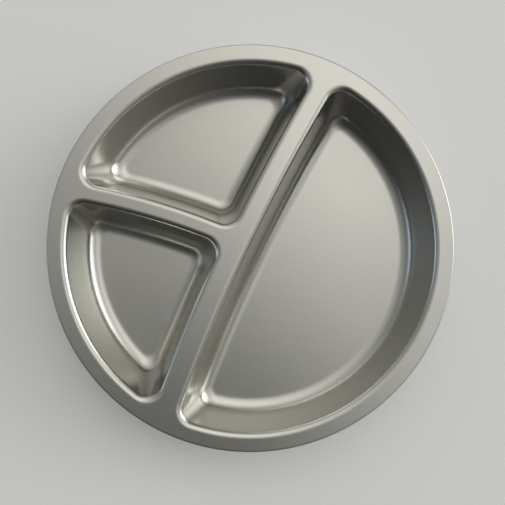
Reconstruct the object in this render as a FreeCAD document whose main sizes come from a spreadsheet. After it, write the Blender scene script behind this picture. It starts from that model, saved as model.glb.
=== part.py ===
import FreeCAD, Part
import math
import os

import Sketcher

# Divided steel baby plate on a removable silicone suction base.
# Frame: millimetres, +Z up, origin on the table under the centre of the plate.
# +X runs along the main divider, +Y points to the two small wells, -Y to the large one.

DIMENSIONS = [
    # plate as a whole
    ("plate_radius", 95, "outer radius of the rim"),
    ("base_height", 11.2, "underside of the outer shell above the table"),
    ("tray_sheet", 0.7, "steel thickness of the divided tray"),
    ("shell_sheet", 0.6, "steel thickness of the outer shell"),
    ("air_gap", 2.5, "free height between the two steel walls under the wells"),
    # wells
    ("well_depth", 20.2, "rim to well floor"),
    ("wall_draft", 18, "slope of the well walls from vertical, degrees"),
    ("well_edge_radius", 86.4, "outer edge of the wells before the lip is rounded"),
    ("lip_round", 3, "rounding where the rim turns down into a well"),
    ("floor_round", 7.5, "rounding where a wall meets the floor"),
    ("corner_top", 7.2, "plan radius of the well corners at the rim"),
    ("corner_floor", 8.2, "plan radius of the well corners at the floor"),
    # dividers: both are gently curved ribs
    ("main_arc_radius", 900, "curvature of the main divider, centred on -Y"),
    ("large_edge", 1.2, "main divider edge on the large well, at X = 0"),
    ("right_edge", 10.9, "main divider edge on the right-hand small well, at X = 0"),
    ("left_edge", 12.4, "main divider edge on the left-hand small well, at X = 0"),
    ("cross_centre_x", -337.1, "centre of the cross divider's curve"),
    ("cross_centre_y", -4.7, "centre of the cross divider's curve"),
    ("cross_arc_radius", 337.93, "curvature of the cross divider's middle line"),
    ("cross_width", 8.25, "width of the cross divider between its edges"),
    # folded rim
    ("hem_width", 3.2, "how far the folded edge reaches back under the rim"),
    ("hem_bend", 0.3, "inside radius of the fold"),
    # outer shell
    ("shell_wall_radius", 90.4, "shell wall where it meets its own flange"),
    ("shell_bend", 1.2, "bend from the shell wall to its flange"),
    ("shell_corner", 10.5, "rounding from the shell wall to its base"),
    # clip ring, spot-welded under the shell
    ("ring_sheet", 0.6, "steel thickness of the clip ring"),
    ("ring_inner_radius", 46, "inner edge of the welded flange"),
    ("ring_web_radius", 53.2, "outside of the upright web"),
    ("ring_outer_radius", 57, "edge of the flange that the silicone grips"),
    ("weld_circle_radius", 49.2, "circle of the spot welds"),
    ("weld_radius", 1.5, "radius of a spot weld's dimple"),
    ("weld_depth", 0.2, "depth of a spot weld's dimple"),
    # silicone base
    ("seat_height", 7, "hub face that the clip ring rests on"),
    ("hub_radius", 61.7, "outside of the hub and its grip collar"),
    ("hub_underside", 3.5, "rim of the hub's hollow underside above the table"),
    ("hub_dome", 0.7, "extra height of the hollow at the centre"),
    ("collar_bottom", 7.9, "where the wall turns into the stretching grip collar"),
    ("collar_top", 10.9, "top of the grip collar"),
    ("collar_lip_radius", 54.2, "inner edge of the collar's lip"),
    ("collar_round", 1.2, "rounding of the collar's edges"),
    ("ring_clearance", 0.3, "gap between the clip ring and the silicone beside it"),
    ("skirt_clearance", 0.3, "gap between the hub and the flexing skirt"),
    ("skirt_radius", 71, "sealing edge of the suction skirt"),
    ("skirt_height", 5.5, "skirt beside the hub"),
    ("skirt_shoulder_radius", 65, "where the skirt's top turns from steep to flat"),
    ("skirt_shoulder_height", 3, "height of that shoulder"),
    ("skirt_edge_height", 0.9, "thickness of the sealing edge"),
    ("skirt_hollow", 2.6, "height of the hollow under the skirt beside the hub"),
    ("seal_radius", 68.5, "inner edge of the band that lies on the table"),
    # release tab
    ("tab_axis_radius", 72.3, "distance of the tab's flexing line from the centre"),
    ("tab_axis_height", 1.3, "height of the flexing line"),
    ("tab_half_thickness", 1, "half the tab's thickness, and its rounded root"),
    ("tab_length", 16.7, "flexing line to the tip"),
    ("tab_width", 24, "width of the tab"),
    ("tab_corner", 8.5, "rounded corners of the tip"),
    ("tab_edge_round", 0.6, "softened edges of the tab"),
    ("tab_rib_width", 1.6, "one grip rib, along the tab"),
    ("tab_rib_height", 0.7, "grip rib above the tab"),
    ("tab_rib_length", 13, "grip rib, across the tab"),
    ("tab_rib_start", 7.5, "first grip rib from the flexing line"),
    ("tab_rib_pitch", 3, "grip rib spacing"),
]
WELD_COUNT = 8
RIB_COUNT = 3

START, END, CENTRE = 1, 2, 3          # point numbers that a sketch constraint uses
ORIGIN = (-1, 1)                      # the sketch's own origin point

doc = FreeCAD.newDocument("suction_plate")


def make_sheet():
    sheet = doc.addObject("Spreadsheet::Sheet", "Dims")
    for row, (alias, value, meaning) in enumerate(DIMENSIONS, start=1):
        sheet.set(f"A{row}", str(value))
        sheet.setAlias(f"A{row}", alias)
        sheet.set(f"B{row}", meaning)
    doc.recompute()
    return sheet


dims = make_sheet()

# heights that several parts share, as expressions on the sheet
PLATE_TOP = ("Dims.base_height + Dims.shell_sheet + Dims.air_gap"
             " + Dims.tray_sheet + Dims.well_depth")
WALL_SHIFT = "Dims.tray_sheet / cos(Dims.wall_draft)"   # sheet thickness, measured level
SHELL_FLANGE = "Dims.shell_sheet + Dims.air_gap + Dims.well_depth"


def value_of(expression):
    """The number that an expression on the sheet gives now."""
    result = dims.evalExpression(expression)
    return float(getattr(result, "Value", result))


def make_body(label, height="0", y="0"):
    body = doc.addObject("PartDesign::Body", label)
    body.Label = label
    body.setExpression("Placement.Base.y", y)
    body.setExpression("Placement.Base.z", height)
    return body


def make_sketch(body, name, plane, height=None):
    """An empty sketch on one of the body's own origin planes."""
    sketch = body.newObject("Sketcher::SketchObject", name)
    support = next(f for f in body.Origin.OriginFeatures if f.Role == plane)
    sketch.AttachmentSupport = (support, "")
    sketch.MapMode = "FlatFace"
    if height:
        sketch.setExpression("AttachmentOffset.Base.z", height)
    return sketch


def bind(sketch, constraint, expression):
    """Adds one dimension and ties it to the sheet."""
    sketch.setExpression(f"Constraints[{sketch.addConstraint(constraint)}]", expression)


def pin_point(sketch, geometry, point, x, y):
    bind(sketch, Sketcher.Constraint("DistanceX", *ORIGIN, geometry, point, value_of(x)), x)
    bind(sketch, Sketcher.Constraint("DistanceY", *ORIGIN, geometry, point, value_of(y)), y)


def draw_profile(sketch, points, bends=()):
    """A closed outline through points given as pairs of expressions.

    bends holds the numbers of the sides that are half circles bulging to +X;
    every other side is straight.
    """
    spots = [FreeCAD.Vector(value_of(x), value_of(y), 0) for x, y in points]
    count = len(spots)
    ends = []
    for side in range(count):
        a, b = spots[side], spots[(side + 1) % count]
        if side in bends:
            bulge = FreeCAD.Vector(abs(a.y - b.y) / 2, 0, 0)
            sketch.addGeometry(Part.Arc(a, (a + b) / 2 + bulge, b), False)
            ends.append((END, START) if a.y > b.y else (START, END))
        else:
            sketch.addGeometry(Part.LineSegment(a, b), False)
            ends.append((START, END))
    for side in range(count):
        after = (side + 1) % count
        sketch.addConstraint(
            Sketcher.Constraint("Coincident", side, ends[side][1], after, ends[after][0]))
        pin_point(sketch, side, ends[side][0], *points[side])
        if side in bends:
            x = points[side][0]
            bind(sketch, Sketcher.Constraint("DistanceX", *ORIGIN, side, CENTRE, value_of(x)), x)


def revolve(body, sketch, name):
    """Turns an outline in the XZ plane once round the body's Z axis."""
    turn = body.newObject("PartDesign::Revolution", name)
    turn.Profile = sketch
    turn.ReferenceAxis = (sketch, ["V_Axis"])
    turn.Angle = 360
    return turn


def round_edges(body, name, wanted, radius):
    """Rounds the edges of the body's last feature that pass the test."""
    doc.recompute()
    base = body.Tip
    names = [f"Edge{n}" for n, edge in enumerate(base.Shape.Edges, start=1) if wanted(edge)]
    if not names:
        raise RuntimeError(f"{name}: no edge to round")
    fillet = body.newObject("PartDesign::Fillet", name)
    fillet.Base = (base, names)
    fillet.setExpression("Radius", radius)
    doc.recompute()
    if "Invalid" in fillet.State:
        raise RuntimeError(f"{name}: {fillet.getStatusString()}")


def level_edge(height, inside):
    """A test for edges that lie level at a height, within a radius of the Z axis."""
    z, limit = value_of(height), value_of(inside)

    def wanted(edge):
        box = edge.BoundBox
        flat = abs(box.ZMin - z) < 1e-3 and abs(box.ZMax - z) < 1e-3
        return flat and all(math.hypot(v.X, v.Y) < limit for v in edge.Vertexes)
    return wanted


def circle_edge(radius, height):
    """A test for the circular edge of one radius at one height."""
    r, z = value_of(radius), value_of(height)

    def wanted(edge):
        curve = edge.Curve
        return (isinstance(curve, Part.Circle) and abs(curve.Radius - r) < 1e-3
                and abs(curve.Center.z - z) < 1e-3)
    return wanted


# ---------------------------------------------------------------- divided tray

# Each side of a well is an arc: centre x, centre y, radius, and +1 when the well
# lies inside that circle or -1 when it lies outside. Sides run anticlockwise.
RIM_SIDE = ("0", "0", "Dims.well_edge_radius", 1)
WELLS = {
    "large": [
        RIM_SIDE,
        ("0", "-Dims.main_arc_radius", "(Dims.main_arc_radius + Dims.large_edge)", 1)],
    "right": [
        ("0", "-Dims.main_arc_radius", "(Dims.main_arc_radius + Dims.right_edge)", -1),
        RIM_SIDE,
        ("Dims.cross_centre_x", "Dims.cross_centre_y",
         "(Dims.cross_arc_radius + Dims.cross_width / 2)", -1)],
    "left": [
        ("0", "-Dims.main_arc_radius", "(Dims.main_arc_radius + Dims.left_edge)", -1),
        ("Dims.cross_centre_x", "Dims.cross_centre_y",
         "(Dims.cross_arc_radius - Dims.cross_width / 2)", 1),
        RIM_SIDE],
}
# which of the two crossings of neighbouring sides is the well's corner, as a rough spot
CORNER_SPOTS = {
    "large": [(82, -4), (-82, -4)],
    "right": [(82, 12), (-3, 84), (4, 14)],
    "left": [(-5, 14), (-14, 79), (-82, 12)],
}


def meet_circles(a, b, near):
    """The crossing of two circles (centre, radius) that is closest to a spot."""
    (ca, ra), (cb, rb) = a, b
    gap = cb - ca
    along = (gap.Length ** 2 + ra ** 2 - rb ** 2) / (2 * gap.Length)
    across = math.sqrt(ra ** 2 - along ** 2)
    unit = FreeCAD.Vector(gap).normalize()
    normal = FreeCAD.Vector(-unit.y, unit.x, 0)
    spots = [ca + unit * along + normal * across * s for s in (1, -1)]
    return min(spots, key=lambda spot: spot.distanceToPoint(near))


def draw_well(sketch, well, inset, corner):
    """A well's outline moved inwards by inset, with rounded corners.

    Sides take the even geometry numbers and the corner after each side the odd one.
    """
    sides = []
    for x, y, radius, inside in WELLS[well]:
        moved = f"{radius} {'-' if inside > 0 else '+'} ({inset})"
        sides.append((FreeCAD.Vector(value_of(x), value_of(y), 0), value_of(moved), inside, moved))
    round_by = value_of(corner)
    count = len(sides)
    middles = []
    for n in range(count):
        (ca, ra, sa, _), (cb, rb, sb, _) = sides[n], sides[(n + 1) % count]
        near = FreeCAD.Vector(*CORNER_SPOTS[well][n], 0)
        middles.append(meet_circles((ca, ra - sa * round_by), (cb, rb - sb * round_by), near))

    def touch(side, middle):
        """Where a corner arc about middle touches a side."""
        centre, radius = sides[side][:2]
        return centre + (middle - centre).normalize() * radius

    def angle(centre, spot):
        return math.atan2(spot.y - centre.y, spot.x - centre.x)

    def add_arc(centre, radius, first, last):
        """Adds an anticlockwise arc from one spot to another."""
        start, end = angle(centre, first), angle(centre, last)
        if end < start:
            end += 2 * math.pi
        circle = Part.Circle(centre, FreeCAD.Vector(0, 0, 1), radius)
        sketch.addGeometry(Part.ArcOfCircle(circle, start, end), False)

    for n in range(count):
        centre, radius, inside, _ = sides[n]
        ends = [touch(n, middles[n - 1]), touch(n, middles[n])]
        add_arc(centre, radius, *(ends if inside > 0 else reversed(ends)))
        add_arc(middles[n], round_by, touch(n, middles[n]), touch((n + 1) % count, middles[n]))

    for n in range(count):
        side, bend, after = 2 * n, 2 * n + 1, 2 * ((n + 1) % count)
        leave = END if sides[n][2] > 0 else START
        enter = START if sides[(n + 1) % count][2] > 0 else END
        sketch.addConstraint(Sketcher.Constraint("Tangent", side, leave, bend, START))
        sketch.addConstraint(Sketcher.Constraint("Tangent", bend, END, after, enter))
        bind(sketch, Sketcher.Constraint("Radius", bend, round_by), corner)
    for n, (x, y, *_) in enumerate(WELLS[well]):
        if (x, y) == ("0", "0"):
            sketch.addConstraint(Sketcher.Constraint("Coincident", 2 * n, CENTRE, *ORIGIN))
        else:
            pin_point(sketch, 2 * n, CENTRE, x, y)
        bind(sketch, Sketcher.Constraint("Radius", 2 * n, sides[n][1]), sides[n][3])


def loft_well(body, kind, well, top, bottom):
    """Adds or removes one well between two outlines: (height, inset, corner) each."""
    sketches = []
    for place, (height, inset, corner) in (("top", top), ("floor", bottom)):
        sketch = make_sketch(body, f"{well}_{kind.lower()}_{place}", "XY_Plane", height)
        draw_well(sketch, well, inset, corner)
        sketches.append(sketch)
    doc.recompute()
    loft = body.newObject(f"PartDesign::{kind}Loft", f"{well}_{kind.lower()}")
    loft.Profile = sketches[0]
    loft.Sections = [sketches[1]]
    loft.Ruled = True
    doc.recompute()


def make_tray():
    """The pressed tray. Its own zero height is the rim's top face."""
    body = make_body("divided_tray", PLATE_TOP)

    # flat disc with its edge folded under the shell's flange
    fold_x = "Dims.plate_radius - Dims.tray_sheet - Dims.hem_bend"
    hem_x = "Dims.plate_radius - Dims.hem_width"
    gap_low = "-Dims.tray_sheet - 2 * Dims.hem_bend"
    low = "-2 * Dims.tray_sheet - 2 * Dims.hem_bend"
    profile = make_sketch(body, "rim_profile", "XZ_Plane")
    draw_profile(profile, [
        ("0", "0"), (fold_x, "0"), (fold_x, low), (hem_x, low), (hem_x, gap_low),
        (fold_x, gap_low), (fold_x, "-Dims.tray_sheet"), ("0", "-Dims.tray_sheet"),
    ], bends=(1, 5))
    revolve(body, profile, "rim")

    slope = "tan(Dims.wall_draft)"
    inner_floor = "-Dims.well_depth"
    outer_top, outer_floor = "-Dims.tray_sheet", "-Dims.well_depth - Dims.tray_sheet"
    within = "Dims.well_edge_radius + Dims.lip_round"
    for well in WELLS:
        loft_well(body, "Additive", well,
                  (outer_top, f"Dims.tray_sheet * {slope} - {WALL_SHIFT}",
                   "Dims.corner_top + Dims.tray_sheet"),
                  (outer_floor,
                   f"(Dims.well_depth + Dims.tray_sheet) * {slope} - {WALL_SHIFT}",
                   "Dims.corner_floor + Dims.tray_sheet"))
    for well in WELLS:
        loft_well(body, "Subtractive", well,
                  ("0", "0", "Dims.corner_top"),
                  (inner_floor, f"Dims.well_depth * {slope}", "Dims.corner_floor"))
    # the two rounds that add steel come before the two that cut it back to one thickness
    round_edges(body, "floor_round", level_edge(inner_floor, within), "Dims.floor_round")
    round_edges(body, "underside_lip_round", level_edge(outer_top, within),
                "Dims.lip_round - Dims.tray_sheet")
    round_edges(body, "underside_floor_round", level_edge(outer_floor, within),
                "Dims.floor_round + Dims.tray_sheet")
    round_edges(body, "lip_round", level_edge("0", within), "Dims.lip_round")
    return body


# ---------------------------------------------------------------- outer shell

def make_shell():
    """The spun outer wall. Its own zero height is the underside of its base."""
    body = make_body("outer_shell", "Dims.base_height")
    slope = "tan(Dims.wall_draft)"
    level = "Dims.shell_sheet / cos(Dims.wall_draft)"
    flange_low = f"{SHELL_FLANGE} - Dims.shell_sheet"
    outer_low = f"Dims.shell_wall_radius - ({flange_low}) * {slope}"
    inner_low = f"{outer_low} + Dims.shell_sheet * {slope} - {level}"
    inner_top = f"Dims.shell_wall_radius + Dims.shell_sheet * {slope} - {level}"
    flange_edge = "Dims.plate_radius - Dims.tray_sheet - Dims.hem_bend"
    profile = make_sketch(body, "shell_profile", "XZ_Plane")
    draw_profile(profile, [
        ("0", "0"), (outer_low, "0"), ("Dims.shell_wall_radius", flange_low),
        (flange_edge, flange_low), (flange_edge, SHELL_FLANGE), (inner_top, SHELL_FLANGE),
        (inner_low, "Dims.shell_sheet"), ("0", "Dims.shell_sheet"),
    ])
    revolve(body, profile, "wall")
    round_edges(body, "outer_corner", circle_edge(outer_low, "0"), "Dims.shell_corner")
    round_edges(body, "inner_corner", circle_edge(inner_low, "Dims.shell_sheet"),
                "Dims.shell_corner - Dims.shell_sheet")
    round_edges(body, "outer_bend", circle_edge("Dims.shell_wall_radius", flange_low),
                "Dims.shell_bend")
    round_edges(body, "inner_bend", circle_edge(inner_top, SHELL_FLANGE),
                "Dims.shell_bend + Dims.shell_sheet")
    return body


# ---------------------------------------------------------------- clip ring

def make_ring():
    """The stamped ring under the shell. Its own zero height is the welded face."""
    body = make_body("clip_ring", "Dims.base_height")
    low = "Dims.seat_height - Dims.base_height"
    web_inner = "Dims.ring_web_radius - Dims.ring_sheet"
    profile = make_sketch(body, "ring_profile", "XZ_Plane")
    draw_profile(profile, [
        ("Dims.ring_inner_radius", "-Dims.ring_sheet"), (web_inner, "-Dims.ring_sheet"),
        (web_inner, low), ("Dims.ring_outer_radius", low),
        ("Dims.ring_outer_radius", f"{low} + Dims.ring_sheet"),
        ("Dims.ring_web_radius", f"{low} + Dims.ring_sheet"),
        ("Dims.ring_web_radius", "0"), ("Dims.ring_inner_radius", "0"),
    ])
    revolve(body, profile, "ring")
    round_edges(body, "top_bend", circle_edge("Dims.ring_web_radius", "0"), "Dims.ring_sheet")
    round_edges(body, "foot_bend", circle_edge(web_inner, low), "Dims.ring_sheet")

    # spot welds leave shallow dimples in the welded flange
    spot = make_sketch(body, "weld_spot", "XY_Plane", "-Dims.ring_sheet")
    circle = Part.Circle(FreeCAD.Vector(value_of("Dims.weld_circle_radius"), 0, 0),
                         FreeCAD.Vector(0, 0, 1), value_of("Dims.weld_radius"))
    spot.addGeometry(circle, False)
    pin_point(spot, 0, CENTRE, "Dims.weld_circle_radius", "0")
    bind(spot, Sketcher.Constraint("Radius", 0, value_of("Dims.weld_radius")),
         "Dims.weld_radius")
    doc.recompute()
    dimple = body.newObject("PartDesign::Pocket", "weld_dimple")
    dimple.Profile = spot
    dimple.Reversed = True            # cut upwards, into the flange from below
    dimple.setExpression("Length", "Dims.weld_depth")
    doc.recompute()
    around = body.newObject("PartDesign::PolarPattern", "weld_dimples")
    around.Originals = [dimple]
    around.Axis = (spot, ["N_Axis"])
    around.Angle = 360
    around.Occurrences = WELD_COUNT
    body.Tip = around
    return body


# ---------------------------------------------------------------- silicone base

def make_hub():
    """The silicone cup that the clip ring sits in, hollow underneath."""
    body = make_body("suction_hub")
    well = "Dims.ring_outer_radius + Dims.ring_clearance"
    profile = make_sketch(body, "hub_profile", "XZ_Plane")
    draw_profile(profile, [
        ("0", "Dims.hub_underside + Dims.hub_dome"), ("Dims.hub_radius", "Dims.hub_underside"),
        ("Dims.hub_radius", "Dims.collar_bottom"), (well, "Dims.collar_bottom"),
        (well, "Dims.seat_height"), ("0", "Dims.seat_height"),
    ])
    revolve(body, profile, "hub")
    return body


def make_collar():
    """The top of the hub's wall. Its lip stretches over the clip ring's flange."""
    body = make_body("grip_collar")
    profile = make_sketch(body, "collar_profile", "XZ_Plane")
    draw_profile(profile, [
        ("Dims.collar_lip_radius", "Dims.collar_bottom"), ("Dims.hub_radius", "Dims.collar_bottom"),
        ("Dims.hub_radius", "Dims.collar_top"), ("Dims.collar_lip_radius", "Dims.collar_top"),
    ])
    revolve(body, profile, "collar")
    for name, radius, height in (
            ("outer_edge", "Dims.hub_radius", "Dims.collar_top"),
            ("lip_top", "Dims.collar_lip_radius", "Dims.collar_top"),
            ("lip_foot", "Dims.collar_lip_radius", "Dims.collar_bottom")):
        round_edges(body, name, circle_edge(radius, height), "Dims.collar_round")
    return body


def make_skirt():
    """The flaring lip that seals on the table."""
    body = make_body("suction_skirt")
    inner = "Dims.hub_radius + Dims.skirt_clearance"
    profile = make_sketch(body, "skirt_profile", "XZ_Plane")
    draw_profile(profile, [
        (inner, "Dims.skirt_hollow"), ("Dims.seal_radius", "0"), ("Dims.skirt_radius", "0"),
        ("Dims.skirt_radius", "Dims.skirt_edge_height"),
        ("Dims.skirt_shoulder_radius", "Dims.skirt_shoulder_height"),
        (inner, "Dims.skirt_height"),
    ])
    revolve(body, profile, "skirt")
    return body


def make_tab():
    """The pull tab. Its own origin is the middle of the line it flexes about."""
    body = make_body("release_tab", "Dims.tab_axis_height", "-Dims.tab_axis_radius")
    thick, tip = "Dims.tab_half_thickness", "-Dims.tab_length"
    side = make_sketch(body, "tab_side", "YZ_Plane")
    draw_profile(side, [("0", thick), ("0", f"-{thick}"), (tip, f"-{thick}"), (tip, thick)],
                 bends=(0,))
    pad = body.newObject("PartDesign::Pad", "tongue")
    pad.Profile = side
    pad.SideType = "Symmetric"
    pad.setExpression("Length", "Dims.tab_width")
    tip_y, half_width = value_of(tip), value_of("Dims.tab_width") / 2

    def tip_corner(edge):
        box = edge.BoundBox
        return (abs(box.YMin - tip_y) < 1e-3 and abs(box.YMax - tip_y) < 1e-3
                and box.ZLength > 1e-3 and box.XLength < 1e-3)

    def rim_edge(edge):
        """Edges round the tongue's outline, on its top and underside."""
        box = edge.BoundBox
        outline = box.YMin < tip_y + 1e-3 or abs(abs(box.XMin) - half_width) < 1e-3
        return box.ZLength < 1e-3 and box.YLength + box.XLength > 1e-3 and outline

    round_edges(body, "tip_corners", tip_corner, "Dims.tab_corner")
    round_edges(body, "soft_edges", rim_edge, "Dims.tab_edge_round")

    rib = make_sketch(body, "rib_outline", "XY_Plane")
    near = "-Dims.tab_rib_start"
    far = "-Dims.tab_rib_start - Dims.tab_rib_width"
    left, right = "-Dims.tab_rib_length / 2", "Dims.tab_rib_length / 2"
    draw_profile(rib, [(left, near), (left, far), (right, far), (right, near)])
    first = body.newObject("PartDesign::Pad", "grip_rib")
    first.Profile = rib
    first.setExpression("Length", f"{thick} + Dims.tab_rib_height")
    doc.recompute()
    ribs = body.newObject("PartDesign::LinearPattern", "grip_ribs")
    ribs.Originals = [first]
    ribs.Direction = (rib, ["V_Axis"])
    ribs.Reversed = True
    ribs.setExpression("Length", f"{RIB_COUNT - 1} * Dims.tab_rib_pitch")
    ribs.Occurrences = RIB_COUNT
    body.Tip = ribs
    return body


def check(bodies):
    """Stops before anything is written if a feature failed or a shape is unsound."""
    for item in doc.Objects:
        if "Invalid" in item.State or "Error" in item.State:
            raise RuntimeError(f"{item.Label} failed: {item.State}")
    for body in bodies:
        if body.Shape.isNull() or not body.Shape.isValid() or len(body.Shape.Solids) != 1:
            raise RuntimeError(f"{body.Label} has no single valid solid")


parts = [make_tray(), make_shell(), make_ring(), make_hub(), make_collar(), make_skirt(),
         make_tab()]
doc.recompute()
check(parts)
os.makedirs("parts", exist_ok=True)
for part in parts:
    part.Shape.exportStep(f"parts/{part.Label}.step")
    box = part.Shape.BoundBox
    print(f"{part.Label}: {part.Shape.Volume:.0f} mm3,"
          f" z {box.ZMin:.2f} to {box.ZMax:.2f}, x to {box.XMax:.2f}, y {box.YMin:.2f}")
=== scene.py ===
import math

import bmesh
import bpy
import numpy as np
from mathutils import Matrix, Vector
from mathutils.geometry import delaunay_2d_cdt


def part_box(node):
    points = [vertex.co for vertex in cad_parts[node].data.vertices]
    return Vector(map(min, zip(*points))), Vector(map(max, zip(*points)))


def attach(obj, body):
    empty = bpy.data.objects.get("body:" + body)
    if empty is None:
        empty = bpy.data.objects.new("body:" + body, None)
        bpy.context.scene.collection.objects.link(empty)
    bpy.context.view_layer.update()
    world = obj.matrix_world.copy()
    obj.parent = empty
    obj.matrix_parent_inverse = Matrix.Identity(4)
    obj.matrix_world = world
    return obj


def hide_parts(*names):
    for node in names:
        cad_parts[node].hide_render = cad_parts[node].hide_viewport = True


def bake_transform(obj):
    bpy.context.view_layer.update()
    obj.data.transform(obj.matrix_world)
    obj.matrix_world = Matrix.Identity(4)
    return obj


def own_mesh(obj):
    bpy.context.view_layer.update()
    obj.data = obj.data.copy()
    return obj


MM = 0.001                       # the CAD's millimetres in Blender's metres
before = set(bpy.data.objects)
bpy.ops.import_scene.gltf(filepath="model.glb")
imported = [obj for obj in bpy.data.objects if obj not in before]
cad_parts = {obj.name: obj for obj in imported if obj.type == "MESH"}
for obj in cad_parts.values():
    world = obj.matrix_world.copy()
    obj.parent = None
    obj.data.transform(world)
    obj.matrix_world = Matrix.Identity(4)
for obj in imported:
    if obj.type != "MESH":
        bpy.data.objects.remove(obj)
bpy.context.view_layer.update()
scene = bpy.context.scene

# ---------------------------------------------------------------- sizes, in millimetres
# heights and outer radii come from the frame; the rest repeats the driving sizes of the CAD
_, tray_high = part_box("divided_tray")
shell_low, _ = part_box("outer_shell")
hub_low, hub_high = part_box("suction_hub")
collar_low, collar_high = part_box("grip_collar")
_, skirt_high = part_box("suction_skirt")
tab_low, tab_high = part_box("release_tab")

RIM_TOP = tray_high.z / MM
PLATE_RADIUS = 95.0
TRAY_SHEET, SHELL_SHEET = 0.7, 0.6
WELL_DEPTH = 20.2
WALL_DRAFT = math.radians(18)
WELL_EDGE_RADIUS = 86.4
LIP_ROUND, FLOOR_ROUND = 3.0, 7.5
CORNER_TOP, CORNER_FLOOR = 7.2, 8.2
MAIN_ARC = 900.0
LARGE_EDGE, RIGHT_EDGE, LEFT_EDGE = 1.2, 10.9, 12.4
CROSS_CENTRE = (-337.1, -4.7)
CROSS_ARC, CROSS_WIDTH = 337.93, 8.25
HEM_WIDTH, HEM_BEND = 3.2, 0.3
SHELL_WALL_RADIUS, SHELL_BEND, SHELL_CORNER = 90.4, 1.2, 10.5
SHELL_BASE = shell_low.z / MM

# silicone cup
SEAT_HEIGHT = 7.0
CUP_INNER, COLLAR_LIP = 57.3, 54.2          # inside of the cup and of its stretching lip
COLLAR_ROUND, LIP_UNDER_ROUND = 1.2, 0.8
HUB_EDGE_ROUND, CUP_CORNER = 0.6, 0.3
HUB_HOLLOW = [(0.0, 0.7), (20.0, 0.62), (40.0, 0.35), (55.0, 0.1)]    # radius, rise above its edge

# suction skirt, as (radius, height) points
SKIRT_INNER, SKIRT_EDGE, SKIRT_EDGE_ROUND = 60.9, 71.0, 0.45
SKIRT_HOLLOW = [(SKIRT_INNER, 3.4), (63.0, 2.85), (65.0, 1.95), (67.0, 0.85), (68.3, 0.12)]
SKIRT_SEAL = [(68.7, 0.0), (69.6, 0.0), (70.5, 0.0)]
SKIRT_FLARE = [(69.6, 1.02), (68.4, 1.35), (67.0, 1.85), (65.6, 2.5), (64.3, 3.3), (63.2, 4.2),
               (62.4, 5.0)]

# release tab: distances from the plate's centre, and the shape of the tongue
TAB_ROOT, TAB_NECK, TAB_AXIS = 66.5, 74.0, 72.3
TAB_SHEET, TAB_TIP_ROUND, TAB_EDGE_SOFT = 2.0, 10.0, 0.9
TAB_FLARE = 4.5                             # extra half width where it joins the skirt
RIB_COUNT, RIB_START, RIB_PITCH = 3, 7.5, 3.0
RIB_HALF_WIDTH, RIB_HEIGHT = 0.8, 0.7
RIB_HALF_LENGTH, RIB_END_SOFT = 6.9, 0.8


# ---------------------------------------------------------------- mesh helpers

def mesh_object(name, verts_mm, faces, material):
    mesh = bpy.data.meshes.new(name)
    mesh.from_pydata([(x * MM, y * MM, z * MM) for x, y, z in verts_mm], [], faces)
    mesh.validate()
    mesh.shade_smooth()
    obj = bpy.data.objects.new(name, mesh)
    scene.collection.objects.link(obj)
    obj.data.materials.append(material)
    return obj


def bridge(first, second, count):
    """Quads between two closed loops of count points that start at these vertex numbers."""
    return [(first + i, first + (i + 1) % count, second + (i + 1) % count, second + i)
            for i in range(count)]


def arc_points(centre, radius, start, end, steps):
    """Points on an arc, angles in degrees, both ends included."""
    return [(centre[0] + radius * math.cos(math.radians(start + (end - start) * i / steps)),
             centre[1] + radius * math.sin(math.radians(start + (end - start) * i / steps)))
            for i in range(steps + 1)]


def spin(profile, segments):
    """A closed solid of revolution: vertices and faces from a closed (radius, height) outline.

    Points on the axis become a single vertex.
    """
    verts, rings = [], []
    for r, z in profile:
        if r < 1e-6:
            rings.append([len(verts)] * segments)
            verts.append((0, 0, z))
            continue
        rings.append(list(range(len(verts), len(verts) + segments)))
        verts += [(r * math.cos(2 * math.pi * k / segments),
                   r * math.sin(2 * math.pi * k / segments), z) for k in range(segments)]
    faces = []
    for n, ring in enumerate(rings):
        after = rings[(n + 1) % len(rings)]
        for k in range(segments):
            j = (k + 1) % segments
            corner = list(dict.fromkeys((ring[k], ring[j], after[j], after[k])))
            if len(corner) > 2:
                faces.append(corner)
    return verts, faces


# ---------------------------------------------------------------- divided tray

# a well's sides, anticlockwise: centre, radius, +1 if the well is inside that circle
RIM_SIDE = ((0.0, 0.0), WELL_EDGE_RADIUS, 1)
MAIN_CENTRE = (0.0, -MAIN_ARC)
WELLS = {
    "large": [RIM_SIDE, (MAIN_CENTRE, MAIN_ARC + LARGE_EDGE, 1)],
    "right": [(MAIN_CENTRE, MAIN_ARC + RIGHT_EDGE, -1), RIM_SIDE,
              (CROSS_CENTRE, CROSS_ARC + CROSS_WIDTH / 2, -1)],
    "left": [(MAIN_CENTRE, MAIN_ARC + LEFT_EDGE, -1),
             (CROSS_CENTRE, CROSS_ARC - CROSS_WIDTH / 2, 1), RIM_SIDE],
}
CORNER_SPOTS = {
    "large": [(82, -4), (-82, -4)],
    "right": [(82, 12), (-3, 84), (4, 14)],
    "left": [(-5, 14), (-14, 79), (-82, 12)],
}
SIDE_STEP = 1.6                   # spacing of points along a side
CORNER_STEPS = 14


def meet_circles(ca, ra, cb, rb, near):
    ca, cb, near = np.array(ca), np.array(cb), np.array(near)
    gap = cb - ca
    dist = np.linalg.norm(gap)
    along = (dist ** 2 + ra ** 2 - rb ** 2) / (2 * dist)
    across = math.sqrt(ra ** 2 - along ** 2)
    unit = gap / dist
    normal = np.array([-unit[1], unit[0]])
    spots = [ca + unit * along + normal * across * s for s in (1, -1)]
    return min(spots, key=lambda spot: np.linalg.norm(spot - near))


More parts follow.
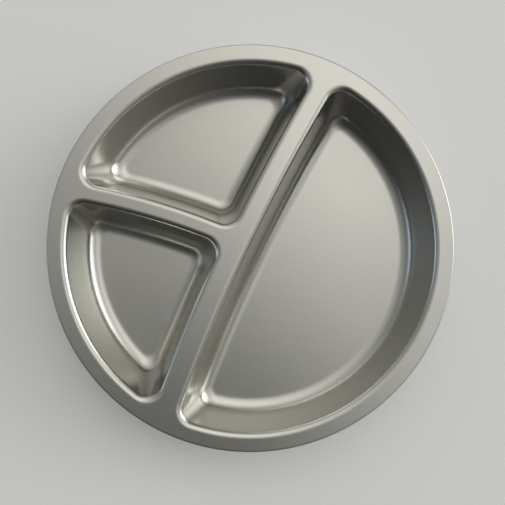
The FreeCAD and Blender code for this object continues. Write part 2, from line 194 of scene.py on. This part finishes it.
def well_outline(well, inset, corner, counts):
    """Points of a well's outline moved inwards by inset, with corners of that radius.

    Every outline of one well has the same number of points, so outlines can be bridged.
    """
    sides = [(np.array(c), r - s * inset, s) for c, r, s in WELLS[well]]
    total = len(sides)
    middles = []
    for n in range(total):
        (ca, ra, sa), (cb, rb, sb) = sides[n], sides[(n + 1) % total]
        middles.append(meet_circles(ca, ra - sa * corner, cb, rb - sb * corner,
                                    CORNER_SPOTS[well][n]))

    def touch(side, middle):
        centre, radius, _ = sides[side]
        toward = middle - centre
        return centre + toward / np.linalg.norm(toward) * radius

    def sweep(centre, radius, start, end, steps, turn):
        a = math.atan2(*(start - centre)[::-1])
        b = math.atan2(*(end - centre)[::-1])
        if turn > 0 and b < a:
            b += 2 * math.pi
        if turn < 0 and b > a:
            b -= 2 * math.pi
        return [centre + radius * np.array([math.cos(a + (b - a) * i / steps),
                                            math.sin(a + (b - a) * i / steps)])
                for i in range(steps)]

    points = []
    for n in range(total):
        centre, radius, inside = sides[n]
        start, end = touch(n, middles[n - 1]), touch(n, middles[n])
        points += sweep(centre, radius, start, end, counts[n], inside)
        points += sweep(middles[n], corner, touch(n, middles[n]),
                        touch((n + 1) % total, middles[n]), CORNER_STEPS, 1)
    return points


def side_counts(well):
    """How many points each side of a well gets, from its length at the rim."""
    counts = []
    for n, (centre, radius, _) in enumerate(WELLS[well]):
        a = np.array(CORNER_SPOTS[well][n - 1]) - centre
        b = np.array(CORNER_SPOTS[well][n]) - centre
        turn = abs(math.atan2(a[0] * b[1] - a[1] * b[0], a @ b))
        counts.append(max(12, round(turn * radius / SIDE_STEP)))
    return counts


def well_profile():
    """The tray's upper surface from the rim to the floor: (inset, depth, normal) points.

    The normal is (inwards, up), so the underside is the same profile moved back along it.
    """
    lip_run = LIP_ROUND * math.tan(math.pi / 4 - WALL_DRAFT / 2)
    floor_run = FLOOR_ROUND * math.tan(math.pi / 4 - WALL_DRAFT / 2)
    turn = math.pi / 2 - WALL_DRAFT
    points = [(-lip_run - 0.5, 0.0, 0.0, 1.0)]
    steps = 12
    for i in range(steps + 1):
        a = turn * i / steps
        points.append((-lip_run + LIP_ROUND * math.sin(a), LIP_ROUND * (1 - math.cos(a)),
                       math.sin(a), math.cos(a)))
    sharp = WELL_DEPTH * math.tan(WALL_DRAFT)
    top = points[-1][:2]
    foot = (sharp - floor_run * math.sin(WALL_DRAFT), WELL_DEPTH - floor_run * math.cos(WALL_DRAFT))
    wall_steps = 8
    for i in range(1, wall_steps):
        share = i / wall_steps
        points.append((top[0] + (foot[0] - top[0]) * share, top[1] + (foot[1] - top[1]) * share,
                       math.cos(WALL_DRAFT), math.sin(WALL_DRAFT)))
    steps = 18
    flat = sharp + floor_run
    for i in range(steps + 1):
        a = turn * (1 - i / steps)
        points.append((flat - FLOOR_ROUND * math.sin(a),
                       WELL_DEPTH - FLOOR_ROUND * (1 - math.cos(a)), math.sin(a), math.cos(a)))
    points.append((flat + 0.5, WELL_DEPTH, 0.0, 1.0))
    return points


def corner_radius(inset, depth):
    """Plan radius of the corners of the upper surface at a place on its profile."""
    on_wall = depth * math.tan(WALL_DRAFT)
    return CORNER_TOP + (CORNER_FLOOR - CORNER_TOP) * depth / WELL_DEPTH - (inset - on_wall)


def inside_loop(spot, loop):
    """Whether a point lies inside a closed loop of points."""
    x, y = spot
    crossings = 0
    for (xa, ya), (xb, yb) in zip(loop, loop[1:] + loop[:1]):
        if (ya > y) != (yb > y) and x < xa + (y - ya) * (xb - xa) / (yb - ya):
            crossings += 1
    return crossings % 2 == 1


def fill_flat(verts, outer, holes=(), up=True):
    """Triangles of the flat region inside one loop of vertex numbers and outside the others."""
    spots, edges, numbers = [], [], []
    for loop in (outer, *holes):
        first = len(spots)
        spots += [Vector(verts[v][:2]) for v in loop]
        numbers += loop
        edges += [(first + i, first + (i + 1) % len(loop)) for i in range(len(loop))]
    _, _, triangles, origins, *_ = delaunay_2d_cdt(spots, edges, [], 1, 1e-7)
    hole_shapes = [[tuple(verts[v][:2]) for v in loop] for loop in holes]
    faces = []
    for triangle in triangles:
        face = [numbers[origins[v][0]] for v in triangle]
        middle = tuple(sum(verts[v][axis] for v in face) / 3 for axis in (0, 1))
        if not any(inside_loop(middle, shape) for shape in hole_shapes):
            faces.append(tuple(face if up else reversed(face)))
    return faces


CIRCLE_STEPS = 320


def circle_loop(verts, radius, height):
    first = len(verts)
    verts += [(radius * math.cos(2 * math.pi * k / CIRCLE_STEPS),
               radius * math.sin(2 * math.pi * k / CIRCLE_STEPS), height)
              for k in range(CIRCLE_STEPS)]
    return first


def make_tray(material):
    """The pressed tray as one closed sheet: upper face, folded edge and underside."""
    verts, faces = [], []
    profile = well_profile()
    top_holes, under_holes = [], []
    for well in WELLS:
        counts = side_counts(well)
        for back, holes in ((0.0, top_holes), (TRAY_SHEET, under_holes)):
            loops = []
            for inset, depth, inward, upward in profile:
                radius = corner_radius(inset, depth) + back * inward
                outline = well_outline(well, inset - back * inward, radius, counts)
                height = RIM_TOP - depth - back * upward
                loops.append(len(verts))
                verts += [(x, y, height) for x, y in outline]
            count = len(outline)
            for a, b in zip(loops, loops[1:]):
                faces += bridge(a, b, count) if back == 0 else bridge(b, a, count)
            floor = list(range(loops[-1], loops[-1] + count))
            faces += fill_flat(verts, floor, up=back == 0)
            holes.append(list(range(loops[0], loops[0] + count)))

    # folded edge, from the upper face round and back to the underside
    fold = PLATE_RADIUS - TRAY_SHEET - HEM_BEND
    bend = TRAY_SHEET + HEM_BEND
    hem_end = PLATE_RADIUS - HEM_WIDTH
    low, gap = RIM_TOP - 2 * bend, RIM_TOP - TRAY_SHEET - 2 * HEM_BEND
    soft = 0.15
    edge = [(fold - 0.4, RIM_TOP)]
    edge += arc_points((fold, RIM_TOP - bend), bend, 90, -90, 20)
    edge += [(hem_end + soft, low)]
    edge += arc_points((hem_end + soft, low + soft), soft, -90, -180, 4)[1:]
    edge += arc_points((hem_end + soft, gap - soft), soft, 180, 90, 4)
    edge += arc_points((fold, RIM_TOP - bend), HEM_BEND, -90, 90, 8)
    rings = [circle_loop(verts, r, z) for r, z in edge]
    for a, b in zip(rings, rings[1:]):
        faces += bridge(b, a, CIRCLE_STEPS)
    first, last = rings[0], rings[-1]
    faces += fill_flat(verts, list(range(first, first + CIRCLE_STEPS)), top_holes, up=True)
    faces += fill_flat(verts, list(range(last, last + CIRCLE_STEPS)), under_holes, up=False)

    tray = mesh_object("steel_tray", verts, faces, material)
    mark_walls(tray)
    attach(tray, "plate")
    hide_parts("divided_tray")
    return tray


def mark_walls(obj):
    """Stores how steep the surface is at each point, 0 level to 1 upright."""
    mesh = obj.data
    steep = mesh.attributes.new("steep", "FLOAT", "POINT")
    steep.data.foreach_set("value", [1 - abs(v.normal.z) for v in mesh.vertices])


# ---------------------------------------------------------------- outer shell

def make_shell(material):
    """The spun outer wall, closed, with its flange inside the tray's folded edge."""
    slope, cos_d = math.tan(WALL_DRAFT), math.cos(WALL_DRAFT)
    flange = RIM_TOP - TRAY_SHEET
    under = flange - SHELL_SHEET
    draft = math.degrees(WALL_DRAFT)
    turn = 90 - draft
    half = math.tan(math.radians(turn / 2))

    def sharp(height, back):
        """Radius of the wall at a height, back from the outer face."""
        return SHELL_WALL_RADIUS - (under - height) * slope - back / cos_d

    def side(back, corner, bend):
        """The base, wall and flange of one face of the sheet, from the axis outwards."""
        base = SHELL_BASE + back
        top = under + back
        r_low, r_top = sharp(base, back), sharp(top, back)
        points = [(0.0, base), (0.35 * r_low, base), (0.7 * r_low, base),
                  (r_low - corner * half - 1.0, base)]
        points += arc_points((r_low - corner * half, base + corner), corner, -90, -draft, 24)
        points += arc_points((r_top + bend * half, top - bend), bend, 180 - draft, 90, 10)
        return points

    outer = side(0.0, SHELL_CORNER, SHELL_BEND)
    inner = side(SHELL_SHEET, SHELL_CORNER - SHELL_SHEET, SHELL_BEND + SHELL_SHEET)
    edge = PLATE_RADIUS - TRAY_SHEET - HEM_BEND
    profile = outer + [(edge, under), (edge, flange)] + inner[::-1]
    verts, faces = spin(profile, CIRCLE_STEPS)
    shell = mesh_object("steel_shell", verts, [tuple(reversed(f)) for f in faces], material)
    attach(shell, "plate")
    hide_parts("outer_shell")
    return shell


# ---------------------------------------------------------------- silicone base

def make_cup(material):
    """Hub and grip collar as one smooth moulding."""
    hub_r, seat = hub_high.x / MM, SEAT_HEIGHT
    low, top = hub_low.z / MM, collar_high.z / MM
    inner, lip_low = CUP_INNER, collar_low.z / MM
    lip, soft, under = COLLAR_LIP, COLLAR_ROUND, LIP_UNDER_ROUND
    profile = [(r, low + rise) for r, rise in HUB_HOLLOW]
    profile += [(hub_r - 0.2, low)]
    profile += arc_points((hub_r - HUB_EDGE_ROUND, low + HUB_EDGE_ROUND), HUB_EDGE_ROUND, -60, 0, 4)
    profile += [(hub_r, 6.0), (hub_r, 8.5)]
    profile += arc_points((hub_r - soft, top - soft), soft, 0, 90, 8)
    profile += arc_points((lip + soft, top - soft), soft, 90, 180, 8)
    profile += arc_points((lip + under, lip_low + under), under, 180, 270, 6)
    profile += [(inner - CUP_CORNER, lip_low), (inner, lip_low - CUP_CORNER),
                (inner, seat + CUP_CORNER), (inner - CUP_CORNER, seat)]
    profile += [(40.0, seat), (20.0, seat), (0.0, seat)]
    verts, faces = spin(profile, CIRCLE_STEPS)
    cup = mesh_object("silicone_cup", verts, [tuple(reversed(f)) for f in faces], material)
    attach(cup, "base_hub")
    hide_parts("suction_hub", "grip_collar")
    return cup


def make_skirt(material):
    """The flaring suction lip, built at rest; on the real base it flattens as the hub is pressed
    down.
    """
    height, soft = skirt_high.z / MM, SKIRT_EDGE_ROUND
    profile = SKIRT_HOLLOW + SKIRT_SEAL
    profile += arc_points((SKIRT_EDGE - soft, soft), soft, -90, 90, 8)
    profile += SKIRT_FLARE
    profile += [(61.9, height - 0.02), (61.6, height), (SKIRT_INNER, height)]
    verts, faces = spin(profile, CIRCLE_STEPS)
    skirt = mesh_object("silicone_skirt", verts, [tuple(reversed(f)) for f in faces], material)
    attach(skirt, "suction_foot")
    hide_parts("suction_skirt")
    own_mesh(skirt)
    return skirt


def make_tab(material):
    """The pull tab, wider at its root where it grows out of the skirt's edge."""
    tip = -tab_low.y / MM
    half_width = (tab_high.x - tab_low.x) / 2 / MM
    low, flat = tab_low.z / MM, tab_low.z / MM + TAB_SHEET
    along, across = 96, 48

    def half_at(reach):
        """Half width of the tongue at a distance from the plate's centre."""
        if reach > tip - TAB_TIP_ROUND:
            over = (reach - (tip - TAB_TIP_ROUND)) / TAB_TIP_ROUND
            return half_width - TAB_TIP_ROUND + TAB_TIP_ROUND * math.sqrt(max(1 - over * over, 0.0))
        flare = max(0.0, (TAB_NECK - reach) / (TAB_NECK - TAB_ROOT))
        return half_width + TAB_FLARE * flare ** 2

    def rib(reach):
        """Height of the grip ribs at a distance from the centre."""
        middles = [TAB_AXIS + RIB_START + RIB_HALF_WIDTH + RIB_PITCH * n for n in range(RIB_COUNT)]
        gaps = [(reach - middle) / RIB_HALF_WIDTH for middle in middles]
        return max(RIB_HEIGHT * math.sqrt(max(0.0, 1 - gap * gap)) for gap in gaps)

    def rounded(distance, soft):
        """How far a softened edge has risen at a distance from it, 0 to 1."""
        share = min(1.0, max(0.0, distance / soft))
        return math.sqrt(max(0.0, 1 - (1 - share) ** 2))

    verts, faces = [], []
    # rows are closer together towards the tip
    rows = [TAB_ROOT + (tip - TAB_ROOT) * (1 - (1 - n / along) ** 1.6) for n in range(along + 1)]
    middle, half = (low + flat) / 2, (flat - low) / 2
    for sheet_side in (1, -1):
        for reach in rows:
            width = half_at(reach)
            end_round = rounded(tip - reach, TAB_EDGE_SOFT)
            for k in range(across + 1):
                x = width * math.sin(-math.pi / 2 + math.pi * k / across)
                side_round = rounded(width - abs(x), TAB_EDGE_SOFT)
                z = middle + sheet_side * half * min(end_round, side_round)
                if sheet_side > 0:
                    z += rib(reach) * rounded(RIB_HALF_LENGTH - abs(x), RIB_END_SOFT)
                verts.append((x, -reach, z))
    stride = across + 1
    bottom = (along + 1) * stride

    def grid(first, flip):
        for n in range(along):
            for k in range(across):
                a = first + n * stride + k
                quad = (a, a + stride, a + stride + 1, a + 1)
                faces.append(quad if not flip else tuple(reversed(quad)))

    grid(0, False)
    grid(bottom, True)
    border = ([n * stride for n in range(along + 1)]
              + [along * stride + k for k in range(1, across + 1)]
              + [n * stride + across for n in range(along - 1, -1, -1)]
              + [k for k in range(across - 1, 0, -1)])
    for a, b in zip(border, border[1:] + border[:1]):
        faces.append((a, bottom + a, bottom + b, b))
    tab = mesh_object("silicone_tab", verts, faces, material)
    mesh = bmesh.new()
    mesh.from_mesh(tab.data)
    bmesh.ops.remove_doubles(mesh, verts=mesh.verts, dist=0.00002)
    bmesh.ops.recalc_face_normals(mesh, faces=mesh.faces)
    mesh.to_mesh(tab.data)
    mesh.free()
    tab.data.shade_smooth()
    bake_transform(tab)
    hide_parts("release_tab")
    return tab


# ---------------------------------------------------------------- materials

def node_material(name):
    material = bpy.data.materials.new(name)
    material.use_nodes = True
    nodes = material.node_tree.nodes
    return material, nodes, material.node_tree.links, nodes["Principled BSDF"]


def steel(name, color, flat_roughness, wall_roughness, grain_scale, grain_depth):
    """Satin steel: fine grain on level faces, smoother on the drawn walls."""
    material, nodes, links, shader = node_material(name)
    shader.inputs["Base Color"].default_value = (*color, 1)
    shader.inputs["Metallic"].default_value = 1.0
    place = nodes.new("ShaderNodeTexCoord")
    steep = nodes.new("ShaderNodeAttribute")
    steep.attribute_name = "steep"
    level = nodes.new("ShaderNodeMapRange")
    level.inputs["From Max"].default_value = 0.25
    level.inputs["To Min"].default_value = flat_roughness
    level.inputs["To Max"].default_value = wall_roughness
    links.new(steep.outputs["Fac"], level.inputs["Value"])
    smudge = nodes.new("ShaderNodeTexNoise")
    smudge.inputs["Scale"].default_value = 45
    smudge.inputs["Detail"].default_value = 5
    spread = nodes.new("ShaderNodeMapRange")
    spread.inputs["To Min"].default_value = 0.92
    spread.inputs["To Max"].default_value = 1.1
    links.new(place.outputs["Object"], smudge.inputs["Vector"])
    links.new(smudge.outputs["Fac"], spread.inputs["Value"])
    rough = nodes.new("ShaderNodeMath")
    rough.operation = "MULTIPLY"
    links.new(level.outputs["Result"], rough.inputs[0])
    links.new(spread.outputs["Result"], rough.inputs[1])
    links.new(rough.outputs["Value"], shader.inputs["Roughness"])
    grain = nodes.new("ShaderNodeTexNoise")
    grain.inputs["Scale"].default_value = grain_scale
    grain.inputs["Detail"].default_value = 3
    bump = nodes.new("ShaderNodeBump")
    bump.inputs["Strength"].default_value = grain_depth
    bump.inputs["Distance"].default_value = 0.0001
    links.new(place.outputs["Object"], grain.inputs["Vector"])
    links.new(grain.outputs["Fac"], bump.inputs["Height"])
    links.new(bump.outputs["Normal"], shader.inputs["Normal"])
    return material


def silicone():
    material, nodes, links, shader = node_material("silicone")
    shader.inputs["Base Color"].default_value = (0.33, 0.38, 0.345, 1)
    shader.inputs["Roughness"].default_value = 0.55
    shader.inputs["Subsurface Weight"].default_value = 0.08
    shader.inputs["Subsurface Scale"].default_value = 0.004
    place = nodes.new("ShaderNodeTexCoord")
    grain = nodes.new("ShaderNodeTexNoise")
    grain.inputs["Scale"].default_value = 2500
    bump = nodes.new("ShaderNodeBump")
    bump.inputs["Strength"].default_value = 0.15
    bump.inputs["Distance"].default_value = 0.00005
    links.new(place.outputs["Object"], grain.inputs["Vector"])
    links.new(grain.outputs["Fac"], bump.inputs["Height"])
    links.new(bump.outputs["Normal"], shader.inputs["Normal"])
    return material


# ---------------------------------------------------------------- floor, light, camera

# image directions of the top view, as directions in the object's frame
RIGHT = Vector((0.431, -0.902, 0)).normalized()
UP = Vector((0, 0, 1)).cross(RIGHT)


def make_floor():
    mesh = bpy.data.meshes.new("floor")
    half = 2.5
    mesh.from_pydata([(-half, -half, 0), (half, -half, 0), (half, half, 0), (-half, half, 0)],
                     [], [(0, 1, 2, 3)])
    floor = bpy.data.objects.new("floor", mesh)
    scene.collection.objects.link(floor)
    material, _, _, shader = node_material("pale_floor")
    shader.inputs["Base Color"].default_value = (0.93, 0.92, 0.92, 1)
    shader.inputs["Roughness"].default_value = 0.6
    mesh.materials.append(material)


# a plain room: each light is a soft glow seen in one direction of the top view
WARM, NEUTRAL, COOL = (1.0, 0.96, 0.90), (0.96, 1.0, 0.98), (0.75, 0.95, 1.15)
AMBIENT = 0.04
SOFT_LIGHTS = [
    # degrees down from overhead, degrees round from right towards top, sharpness, strength, tint
    (35, 75, 8, 1.4, WARM),         # ceiling, brighter towards the upper right
    (15, 30, 40, 1.0, NEUTRAL),     # lamp near overhead
    (30, 330, 40, 0.9, NEUTRAL),    # its glow on the ceiling
    (75, 15, 15, 4.5, NEUTRAL),     # window on the right
    (75, 120, 4, 0.5, NEUTRAL),     # far wall
    (75, 180, 40, 1.1, COOL),       # small window on the left
    (30, 180, 20, 0.3, NEUTRAL),    # its glow on the ceiling
    (75, 330, 4, 0.3, WARM),        # wall on the lower right
]


def make_world():
    """A dim room whose brightness is a sum of soft glows, each a power of a cosine."""
    world = bpy.data.worlds.new("studio")
    scene.world = world
    world.use_nodes = True
    nodes, links = world.node_tree.nodes, world.node_tree.links
    place = nodes.new("ShaderNodeTexCoord")
    total = nodes.new("ShaderNodeRGB")
    total.outputs[0].default_value = (AMBIENT, AMBIENT, AMBIENT, 1)
    light = total.outputs[0]
    for down, around, sharpness, strength, color in SOFT_LIGHTS:
        down, around = math.radians(down), math.radians(around)
        level = RIGHT * math.cos(around) + UP * math.sin(around)
        toward = nodes.new("ShaderNodeVectorMath")
        toward.operation = "DOT_PRODUCT"
        toward.inputs[1].default_value = level * math.sin(down) + Vector((0, 0, math.cos(down)))
        facing = nodes.new("ShaderNodeMath")
        facing.operation = "MAXIMUM"
        facing.inputs[1].default_value = 0.0
        glow = nodes.new("ShaderNodeMath")
        glow.operation = "POWER"
        glow.inputs[1].default_value = sharpness
        tint = nodes.new("ShaderNodeVectorMath")
        tint.operation = "SCALE"
        tint.inputs[0].default_value = Vector(color) * strength
        add = nodes.new("ShaderNodeVectorMath")
        links.new(place.outputs["Generated"], toward.inputs[0])
        links.new(toward.outputs["Value"], facing.inputs[0])
        links.new(facing.outputs[0], glow.inputs[0])
        links.new(glow.outputs[0], tint.inputs["Scale"])
        links.new(light, add.inputs[0])
        links.new(tint.outputs[0], add.inputs[1])
        light = add.outputs[0]
    links.new(light, nodes["Background"].inputs["Color"])


CAMERA_HEIGHT = 238.0             # above the rim, in millimetres
CAMERA_FOOT = (0.0, -6.0)         # below the camera, right and up of the plate's centre, mm
FRAMING = (0.0047, 0.0174)        # lens shift, right and up
VIEW_WIDTH = 234.4                # width of the view at the rim, mm


def make_camera():
    """Straight down on the plate, a little below its centre in the picture."""
    data = bpy.data.cameras.new("camera")
    camera = bpy.data.objects.new("camera", data)
    scene.collection.objects.link(camera)
    where = RIGHT * CAMERA_FOOT[0] + UP * CAMERA_FOOT[1] + Vector((0, 0, RIM_TOP + CAMERA_HEIGHT))
    turn = Matrix((RIGHT, UP, Vector((0, 0, 1)))).transposed()
    camera.matrix_world = Matrix.Translation(where * MM) @ turn.to_4x4()
    data.sensor_width = 36
    data.lens = data.sensor_width * CAMERA_HEIGHT / VIEW_WIDTH
    data.shift_x, data.shift_y = FRAMING
    scene.camera = camera


tray_steel = steel("tray_steel", (0.555, 0.545, 0.51), 0.34, 0.24, 900, 0.25)
shell_steel = steel("shell_steel", (0.56, 0.54, 0.52), 0.30, 0.30, 900, 0.2)
ring_steel = steel("ring_steel", (0.54, 0.53, 0.52), 0.32, 0.32, 900, 0.2)
soft_silicone = silicone()
make_tray(tray_steel)
make_shell(shell_steel)
ring_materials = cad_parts["clip_ring"].data.materials
for slot_number in range(len(ring_materials)):
    ring_materials[slot_number] = ring_steel
make_cup(soft_silicone)
make_skirt(soft_silicone)
make_tab(soft_silicone)
make_floor()
make_world()
make_camera()
scene.view_settings.view_transform = "Standard"
